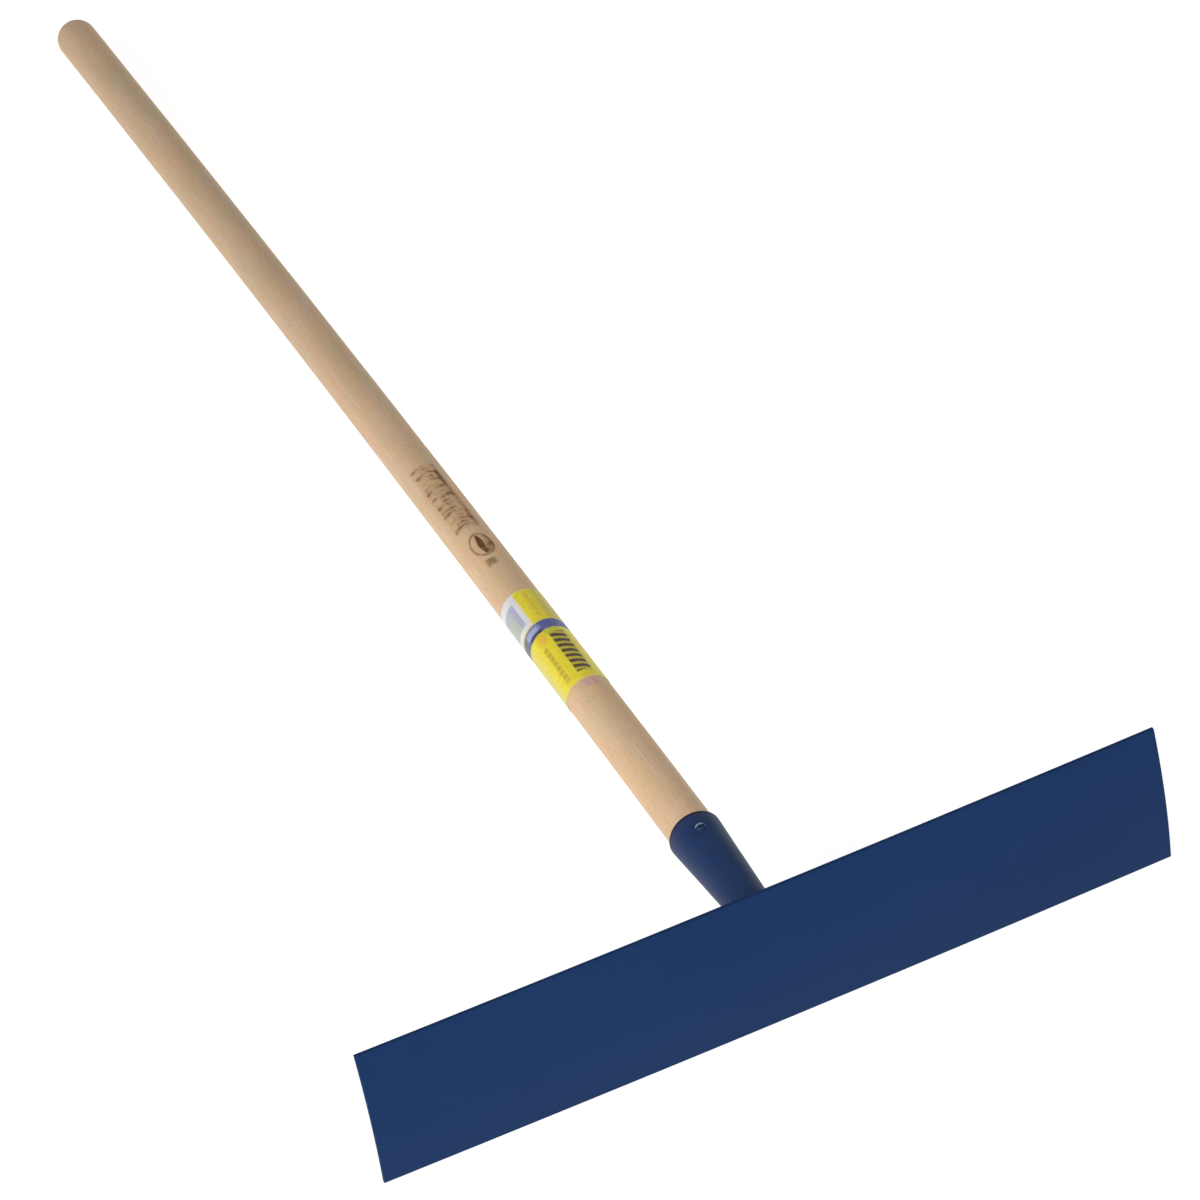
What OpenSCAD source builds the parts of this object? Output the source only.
// Long-handled hand scraper: a curved steel blade, a rolled conical socket welded
// square to its back, and a wooden handle held in the socket by one screw.
// It lies as it is put down: the blade stands on its lower edge and the far end of
// the handle touches the ground.
// Frame: +X along the blade, +Y from the blade towards the handle's free end, +Z up.
// Origin: the middle of the blade's lower edge face.

/* [Blade] */
// Length of the blade
blade_len = 600; // [300:10:900]
// Height of the blade, from edge to edge
blade_h = 117; // [100:1:160]
// Thickness of the blade plate
blade_t = 3; // [2:0.5:5]
// Radius of the plate's bend, at mid thickness
blade_bend_r = 400; // [250:10:900]
// Radius of the blade's four corners
blade_corner_r = 1; // [0.5:0.5:10]

/* [Socket] */
// Height of the socket's axis above the blade's lower edge, where it meets the plate
socket_z = 84; // [70:1:90]
// Length of the socket along its axis
socket_len = 124; // [90:1:160]
// Outer diameter of the socket at the plate
socket_foot_d = 27; // [22:0.5:30]
// Thickness of the socket's sheet
socket_wall = 2.25; // [1.5:0.25:3]
// Width of the open seam along the socket's underside
seam_w = 1.5; // [0.5:0.5:3]

/* [Weld] */
// Radius of the weld bead's rounded section
weld_r = 3.4; // [2:0.2:5]

/* [Handle] */
// Length of the wooden handle
handle_len = 1400; // [1000:50:1700]
// Diameter of the handle where it leaves the socket
handle_d = 35; // [30:0.5:38]
// Diameter of the handle's grip end
grip_d = 33; // [28:0.5:35]
// Length of the straight cylindrical grip, without its rounded end
grip_len = 400; // [200:50:500]
// Distance from the plate to the handle's lower end inside the socket
tail_gap = 30; // [20:1:40]
// Play between the handle and the socket's inside wall
fit_gap = 0.05; // [0.05:0.05:0.5]

/* [Fixing screw] */
// Distance from the socket's mouth to the screw
screw_inset = 17; // [12:1:30]
// Diameter of the screw's head
screw_head_d = 8; // [7:0.5:11]
// Height of the screw's domed head
screw_head_h = 2.6; // [2:0.2:3.6]
// Diameter of the screw's shank
screw_shank_d = 4.5; // [3:0.5:5]
// Length of the screw below its head
screw_len = 20; // [14:1:24]

/* [Label] */
// Distance along the handle from the plate to the label's lower edge
label_start = 315; // [200:5:500]
// Length of the label along the handle
label_len = 126; // [60:1:160]
// Thickness of the label
label_t = 0.2; // [0.1:0.1:0.4]
// Angle left bare between the label's two side edges, on the handle's underside
label_open = 60; // [20:5:180]

/* [Hidden] */

STEEL_BLUE = [0.09, 0.17, 0.34];
WELD_BLUE = [0.13, 0.21, 0.37];
ASH_WOOD = [0.78, 0.66, 0.51];
ZINC = [0.62, 0.66, 0.72];
LABEL_YELLOW = [0.88, 0.80, 0.18];

// Overlap that keeps boolean cuts clean
eps = 0.5;
// Facets of ordinary round shapes, and of the plate's very large bend
round_fn = 96;
bend_fn = 1440;

// The plate's bend is centred behind the blade, at half its height
bend_y = sqrt(pow(blade_bend_r, 2) - pow(blade_h / 2, 2));
bend_z = blade_h / 2;
back_r = blade_bend_r - blade_t / 2;
front_r = blade_bend_r + blade_t / 2;

// Where the socket's axis meets the plate's back
foot_y = bend_y - sqrt(pow(back_r, 2) - pow(socket_z - bend_z, 2));

// Distances along the socket's axis from the plate's back
tip_s = tail_gap + handle_len;
dome_r = grip_d / 2;
dome_s = tip_s - dome_r;
grip_s = dome_s - grip_len;
screw_s = socket_len - screw_inset;

// The handle slopes down until its rounded end touches the ground
slope = asin((socket_z - dome_r) / dome_s);

foot_r = socket_foot_d / 2;
mouth_r = handle_d / 2 + fit_gap + socket_wall;
cone_rate = (mouth_r - foot_r) / socket_len;

// Handle radius at the distance s along the taper between socket and grip
function taper_r(s) = handle_d / 2 + (grip_d - handle_d) / 2 * (s - socket_len) / (grip_s - socket_len);
// Outer radius of the socket at the distance s
function socket_r(s) = foot_r + cone_rate * s;

// Places its children on the socket's axis: their +Z runs along the axis, away from the
// plate, and their -X is the upper side
module on_axis(s = 0) {
    translate([0, foot_y, socket_z])
        rotate([-90 - slope, 0, 0])
            rotate([0, 0, 90])
                translate([0, 0, s])
                    children();
}

// Straight cone along the axis, from s0 to s1
module cone(s0, s1, r0, r1) {
    translate([0, 0, s0])
        cylinder(h = s1 - s0, r1 = r0, r2 = r1, $fn = round_fn);
}

// Long cylinder across the blade, centred on the plate's bend
module bend_cylinder(r) {
    translate([0, bend_y, bend_z])
        rotate([0, 90, 0])
            cylinder(h = blade_len + 20, r = r, center = true, $fn = bend_fn);
}

// Outline of the blade seen from the front, with rounded corners
module blade_outline() {
    inner_len = blade_len - 2 * blade_corner_r;
    inner_h = blade_h - 2 * blade_corner_r;
    translate([-inner_len / 2, 0])
        square([inner_len, blade_h]);
    translate([-blade_len / 2, blade_corner_r])
        square([blade_len, inner_h]);
    for (x = [-inner_len / 2, inner_len / 2])
        for (z = [blade_corner_r, blade_h - blade_corner_r])
            translate([x, z])
                circle(r = blade_corner_r, $fn = round_fn);
}

// Plate bent to an arc about X, hollow towards the handle
module blade() {
    depth = blade_bend_r / 2;
    color(STEEL_BLUE)
        intersection() {
            difference() {
                bend_cylinder(front_r);
                bend_cylinder(back_r);
            }
            translate([0, depth / 2, 0])
                rotate([90, 0, 0])
                    linear_extrude(height = depth)
                        blade_outline();
        }
}

// Screw hole with a shallow flat seat for the head, drilled from straight above
module screw_cut() {
    head_z = screw_seat_z();
    translate([0, screw_y(), head_z])
        cylinder(h = 10, d = screw_head_d + 0.2, $fn = round_fn);
    translate([0, screw_y(), head_z - screw_len])
        cylinder(h = screw_len + eps, d = screw_shank_d + 0.1, $fn = round_fn);
}

// The socket's top line is level, so the screw stands upright on it
function screw_y() = foot_y + screw_s * cos(slope) + socket_r(screw_s) * sin(slope);
function screw_seat_z() = socket_z - screw_s * sin(slope) + socket_r(screw_s) * cos(slope) - 0.6;

// Rolled sheet cone with an open seam underneath, its foot shaped to the plate
module socket() {
    inner_foot_r = foot_r - socket_wall;
    inner_mouth_r = mouth_r - socket_wall;
    color(STEEL_BLUE)
        difference() {
            intersection() {
                on_axis()
                    cone(-eps, socket_len, socket_r(-eps), mouth_r);
                bend_cylinder(back_r);
            }
            on_axis()
                cone(-2, socket_len, inner_foot_r - 2 * cone_rate, inner_mouth_r);
            on_axis(socket_len - eps)
                cylinder(h = 2 * eps, r = inner_mouth_r, $fn = round_fn);
            on_axis(-2)
                translate([foot_r / 2, -seam_w / 2, 0])
                    cube([mouth_r, seam_w, socket_len + 4]);
            screw_cut();
        }
}

// Fillet weld round the socket's foot
module weld_bead() {
    ring_r = foot_r + weld_r * 0.45;
    color(WELD_BLUE)
        difference() {
            intersection() {
                on_axis(weld_r * 0.35)
                    rotate_extrude($fn = round_fn)
                        translate([ring_r, 0])
                            circle(r = weld_r, $fn = round_fn);
                bend_cylinder(back_r);
            }
            on_axis()
                cone(-2 * weld_r, 4 * weld_r, socket_r(-2 * weld_r), socket_r(4 * weld_r));
        }
}

// Turned handle: tail tapered to the socket, long taper, straight grip, rounded end
module handle() {
    chamfer = 2;
    tail_r = socket_r(tail_gap) - socket_wall - fit_gap;
    shoulder_s = socket_len;
    color(ASH_WOOD)
        difference() {
            union() {
                on_axis() {
                    cone(tail_gap, tail_gap + chamfer, tail_r - chamfer, tail_r + cone_rate * chamfer);
                    cone(tail_gap + chamfer, shoulder_s, tail_r + cone_rate * chamfer, handle_d / 2);
                    cone(shoulder_s, grip_s, handle_d / 2, grip_d / 2);
                    cone(grip_s, dome_s, grip_d / 2, grip_d / 2);
                }
                on_axis(dome_s)
                    sphere(r = dome_r, $fn = round_fn);
            }
            translate([0, screw_y(), screw_seat_z() - screw_len])
                cylinder(h = screw_len + 10, d = screw_shank_d + 0.1, $fn = round_fn);
        }
}

// Wood screw with a domed, cross-slotted head and a pointed end
module fixing_screw() {
    slot_w = 1.1;
    slot_len = screw_head_d * 0.55;
    slot_depth = 1.3;
    point_len = 5;
    cap_r = (pow(screw_head_d / 2, 2) + pow(screw_head_h, 2)) / (2 * screw_head_h);
    color(ZINC)
        translate([0, screw_y(), screw_seat_z()])
            difference() {
                union() {
                    intersection() {
                        translate([0, 0, screw_head_h - cap_r])
                            sphere(r = cap_r, $fn = round_fn);
                        cylinder(h = screw_head_h + eps, d = screw_head_d, $fn = round_fn);
                    }
                    translate([0, 0, point_len - screw_len])
                        cylinder(h = screw_len - point_len + eps, d = screw_shank_d, $fn = round_fn);
                    translate([0, 0, -screw_len])
                        cylinder(h = point_len, d1 = 0.6, d2 = screw_shank_d, $fn = round_fn);
                }
                for (turn = [45, 135])
                    rotate([0, 0, turn])
                        translate([-slot_len / 2, -slot_w / 2, screw_head_h - slot_depth])
                            cube([slot_len, slot_w, slot_depth + eps]);
            }
}

// Printed label wrapped round the handle, open along the underside
module label() {
    label_end = label_start + label_len;
    reach = handle_d;
    half = label_open / 2;
    color(LABEL_YELLOW)
        on_axis()
            difference() {
                cone(label_start, label_end, taper_r(label_start) + label_t, taper_r(label_end) + label_t);
                cone(label_start - eps, label_end + eps, taper_r(label_start - eps), taper_r(label_end + eps));
                translate([0, 0, label_start - eps])
                    linear_extrude(height = label_len + 2 * eps)
                        polygon([[0, 0], [reach, -reach * tan(half)], [reach, reach * tan(half)]]);
            }
}

blade();
socket();
weld_bead();
handle();
fixing_screw();
label();
